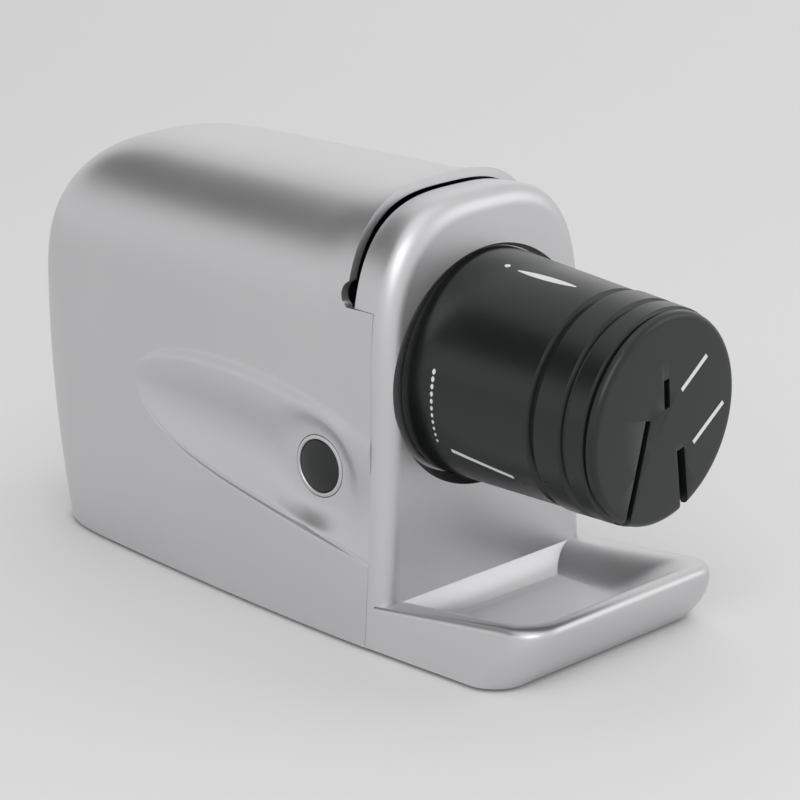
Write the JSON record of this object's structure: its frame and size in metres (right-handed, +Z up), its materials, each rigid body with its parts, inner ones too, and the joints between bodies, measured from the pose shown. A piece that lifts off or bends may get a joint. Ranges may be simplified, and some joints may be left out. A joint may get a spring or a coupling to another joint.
{
  "type": "electric knife sharpener",
  "caption": "Battery knife sharpener: arched silver housing with thumb scoops, slotted black guide barrel over a grinding wheel, catch tray in front, manual slot across the top.",
  "frame": {"origin": "middle of the bounding box at its underside, on the plane that the four rubber feet stand on", "axes": "+Z up, +Y back along the housing, away from the guide barrel and tray, +X across, with the power button on the -X side"},
  "size_m": [0.077, 0.1964, 0.111],
  "materials": {
    "silver_plastic": "satin silver-grey moulded plastic",
    "black_plastic": "satin black moulded plastic",
    "dark_plastic": "dark grey plastic",
    "grey_plastic": "fine-textured grey plastic",
    "rubber": "matt black rubber",
    "steel": "bright steel",
    "zinc_steel": "zinc-plated sheet steel",
    "bronze": "bronze or brass",
    "stone": "open-grained abrasive stone",
    "ceramic": "ground white ceramic",
    "iron": "dark ferrite or laminated iron"
  },
  "bodies": {
    "housing": {"front_frame": "silver_plastic", "rear_housing": "silver_plastic", "button_bezel": "silver_plastic", "base_plate": "grey_plastic", "switch_bracket": "grey_plastic", "foot_front_left": "rubber", "foot_front_right": "rubber", "foot_rear_left": "rubber", "foot_rear_right": "rubber", "motor_end_cap": "dark_plastic", "slot_block": "dark_plastic", "power_switch": "dark_plastic", "bearing_bush": "bronze", "motor_brush_left": "bronze", "motor_brush_right": "bronze", "motor_can": "zinc_steel", "motor_bracket": "zinc_steel", "motor_magnet_left": "iron", "motor_magnet_right": "iron", "ceramic_rod_left": "ceramic", "ceramic_rod_right": "ceramic", "motor_terminal_left": "steel", "motor_terminal_right": "steel", "motor_screw_left": "steel", "motor_screw_right": "steel", "bracket_screw_lower_left": "steel", "bracket_screw_lower_right": "steel", "bracket_screw_upper_left": "steel", "bracket_screw_upper_right": "steel", "slot_screw_left": "steel", "slot_screw_right": "steel", "base_screw_front_left": "steel", "base_screw_front_right": "steel", "base_screw_middle_left": "steel", "base_screw_middle_right": "steel", "base_screw_rear_left": "steel", "base_screw_rear_right": "steel", "button_spring": "steel", "contact_plate_front_left": "steel", "contact_plate_front_right": "steel", "contact_bridge_rear": "steel", "contact_spring_front": "steel", "contact_spring_rear": "steel"},
    "guide_ring": {"guide_ring": "dark_plastic"},
    "barrel": {"guide_barrel": "black_plastic", "knife_guide_insert": "dark_plastic"},
    "spindle": {"motor_shaft": "steel", "wheel_spindle": "bronze", "grinding_wheel": "stone", "wheel_nut": "zinc_steel", "rotor_core": "iron", "commutator": "bronze"},
    "button": {"power_button": "black_plastic"},
    "door": {"battery_door": "grey_plastic"}
  },
  "joints": [
    {"name": "guide_ring_turn", "type": "hinge", "parent": "housing", "child": "guide_ring", "pos_m": [0, -0.04184, 0.066], "axis": [0, 0.9983, 0.0576], "range_deg": [0, 90]},
    {"name": "barrel_pull_off", "type": "slide", "parent": "guide_ring", "child": "barrel", "axis": [0, -0.9983, -0.0576], "range_m": [0, 0.04]},
    {"name": "wheel_spin", "type": "hinge", "parent": "housing", "child": "spindle", "pos_m": [0, -0.04184, 0.066], "axis": [0, 0.9983, 0.0576], "continuous": true},
    {"name": "power_button_press", "type": "slide", "parent": "housing", "child": "button", "axis": [1, 0, 0], "range_m": [0, 0.002], "stiffness_N_per_m": 400, "springref_m": -0.001, "deforming": ["button_spring"]},
    {"name": "battery_door_hinge", "type": "hinge", "parent": "housing", "child": "door", "pos_m": [0, -0.02914, 0.0019], "axis": [-1, 0, 0], "range_deg": [0, 100]}
  ]
}
